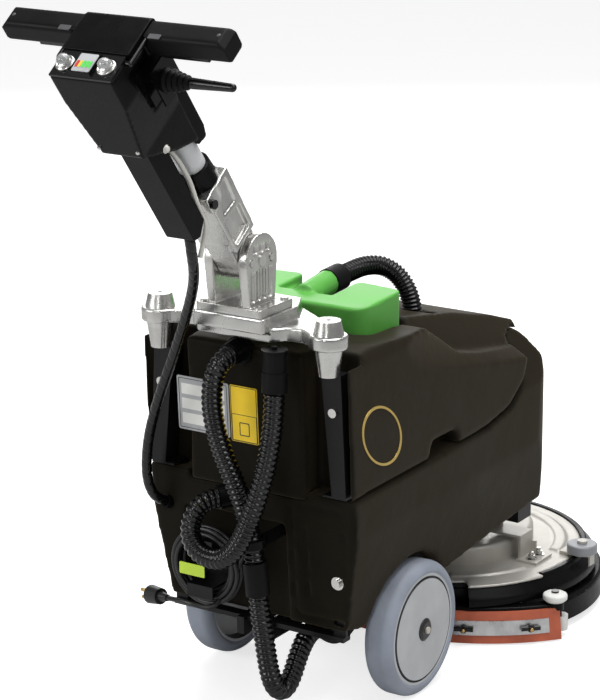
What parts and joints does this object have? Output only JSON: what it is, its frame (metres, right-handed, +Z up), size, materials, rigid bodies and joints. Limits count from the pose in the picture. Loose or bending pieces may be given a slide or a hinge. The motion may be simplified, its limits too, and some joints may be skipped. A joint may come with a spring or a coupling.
{
  "type": "wet dry floor scrubber",
  "caption": "Walk-behind battery floor scrubber with stacked tanks, round brush deck, trailing curved squeegee and a tilting control handle.",
  "frame": {"origin": "on the floor under the middle of the machine", "axes": "+Y forward, +X to the operator's right, +Z up"},
  "size_m": [0.5186, 1.1859, 1.0528],
  "materials": {
    "tank_plastic": "fine textured rotomoulded",
    "black_plastic": "textured moulded",
    "gloss_black": "gloss",
    "black_rubber": "satin ribbed",
    "cast_metal": "satin cast",
    "bright_screw": "bright",
    "tube_paint": "satin",
    "frame_paint": "satin black",
    "deck_silver": "satin silver",
    "lid_green": "gloss",
    "clear_button": "clear gloss",
    "tyre_grey": "satin",
    "rim_grey": "satin",
    "roller_grey": "satin",
    "roller_white": "satin",
    "blade_red": "satin",
    "strap_aluminium": "brushed",
    "hose_black": "gloss corrugated",
    "cable_white": "satin",
    "cord_black": "satin",
    "bristle_dark": "fibre",
    "battery_case": "satin"
  },
  "bodies": {
    "chassis": {"solution_tank": "tank_plastic", "recovery_tank": "tank_plastic", "batteries": "battery_case", "vacuum_motor": "black_plastic", "fasteners": "bright_screw", "base_frame": "frame_paint", "wheel_axle": "bright_screw", "posts": "cast_metal", "yoke": "cast_metal", "hinge_base": "cast_metal", "pivot_pin": "bright_screw", "deck_plate": "deck_silver", "deck_housing": "black_plastic", "brush_motor": "deck_silver", "deck_brackets": "frame_paint", "hose_fittings": "black_plastic", "hose_cuffs": "black_rubber", "cord_bracket": "frame_paint", "charger_coil": "cord_black", "charger_plug": "cord_black", "charger_cord": "cord_black", "vacuum_hose_upper": "hose_black", "vacuum_hose_lower": "hose_black", "drain_hose": "hose_black"},
    "handle": {"handle_arm": "cast_metal", "handle_tube": "tube_paint", "tube_collar": "black_plastic", "head_housing": "black_plastic", "control_panel": "black_plastic", "bar_cover": "black_plastic", "handlebar": "frame_paint", "grips": "black_rubber", "cable_box": "black_plastic", "handle_fittings": "gloss_black", "lever_boot": "black_rubber", "control_cable": "cable_white", "wiring_loom": "hose_black"},
    "lever": {"lever": "gloss_black"},
    "lid": {"tank_lid": "lid_green", "lid_cuff": "black_rubber", "lid_hose": "hose_black"},
    "brush": {"brush": "bristle_dark"},
    "squeegee": {"squeegee_ring": "black_plastic", "squeegee_body": "black_plastic", "blades": "blade_red", "blade_strap": "strap_aluminium", "wing_nuts": "gloss_black", "blade_caps": "roller_white"},
    "button_left": {"button_left": "clear_button"},
    "trigger_left": {"trigger_left": "gloss_black"},
    "wheel_left": {"tyre_left": "tyre_grey", "rim_left": "rim_grey"},
    "bumper_roller_left": {"bumper_roller_left": "roller_grey"},
    "squeegee_roller_left": {"squeegee_roller_left": "roller_white"},
    "button_right": {"button_right": "clear_button"},
    "trigger_right": {"trigger_right": "gloss_black"},
    "wheel_right": {"tyre_right": "tyre_grey", "rim_right": "rim_grey"},
    "bumper_roller_right": {"bumper_roller_right": "roller_grey"},
    "squeegee_roller_right": {"squeegee_roller_right": "roller_white"}
  },
  "joints": [
    {"name": "handle_tilt", "type": "hinge", "parent": "chassis", "child": "handle", "pos_m": [0, -0.24355, 0.682], "axis": [1, 0, 0], "range_deg": [-70, 15], "deforming": ["wiring_loom"]},
    {"name": "lever_tilt", "type": "hinge", "parent": "handle", "child": "lever", "pos_m": [0.056, -0.48575, 0.9716], "axis": [0, 0.8, 0.6], "range_deg": [-12, 12], "deforming": ["lever_boot"]},
    {"name": "lid_lift", "type": "slide", "parent": "chassis", "child": "lid", "axis": [0, 0, 1], "range_m": [0, 0.04], "deforming": ["lid_hose"]},
    {"name": "brush_spin", "type": "hinge", "parent": "chassis", "child": "brush", "pos_m": [0, 0.34595, 0.02], "axis": [0, 0, 1], "continuous": true},
    {"name": "squeegee_swing", "type": "hinge", "parent": "chassis", "child": "squeegee", "pos_m": [0, 0.34595, 0.06], "axis": [0, 0, 1], "range_deg": [-28, 28], "deforming": ["vacuum_hose_lower"]},
    {"name": "button_left_press", "type": "slide", "parent": "handle", "child": "button_left", "axis": [0, 0.6, -0.8], "range_m": [0, 0.003], "stiffness_N_per_m": 300, "springref_m": -0.001},
    {"name": "trigger_left_squeeze", "type": "slide", "parent": "handle", "child": "trigger_left", "axis": [0, -0.6, 0.8], "range_m": [0, 0.003], "stiffness_N_per_m": 400, "springref_m": -0.002},
    {"name": "wheel_left_spin", "type": "hinge", "parent": "chassis", "child": "wheel_left", "pos_m": [-0.158, -0.04555, 0.1016], "axis": [1, 0, 0], "continuous": true},
    {"name": "bumper_roller_left_spin", "type": "hinge", "parent": "chassis", "child": "bumper_roller_left", "pos_m": [-0.222, 0.37845, 0.1], "axis": [0, 0, 1], "continuous": true},
    {"name": "squeegee_roller_left_spin", "type": "hinge", "parent": "squeegee", "child": "squeegee_roller_left", "pos_m": [-0.23981, 0.25438, 0.065], "axis": [0, 0, 1], "continuous": true},
    {"name": "button_right_press", "type": "slide", "parent": "handle", "child": "button_right", "axis": [0, 0.6, -0.8], "range_m": [0, 0.003], "stiffness_N_per_m": 300, "springref_m": -0.001},
    {"name": "trigger_right_squeeze", "type": "slide", "parent": "handle", "child": "trigger_right", "axis": [0, -0.6, 0.8], "range_m": [0, 0.003], "stiffness_N_per_m": 400, "springref_m": -0.002},
    {"name": "wheel_right_spin", "type": "hinge", "parent": "chassis", "child": "wheel_right", "pos_m": [0.158, -0.04555, 0.1016], "axis": [1, 0, 0], "continuous": true},
    {"name": "bumper_roller_right_spin", "type": "hinge", "parent": "chassis", "child": "bumper_roller_right", "pos_m": [0.222, 0.37845, 0.1], "axis": [0, 0, 1], "continuous": true},
    {"name": "squeegee_roller_right_spin", "type": "hinge", "parent": "squeegee", "child": "squeegee_roller_right", "pos_m": [0.23981, 0.25438, 0.065], "axis": [0, 0, 1], "continuous": true}
  ]
}
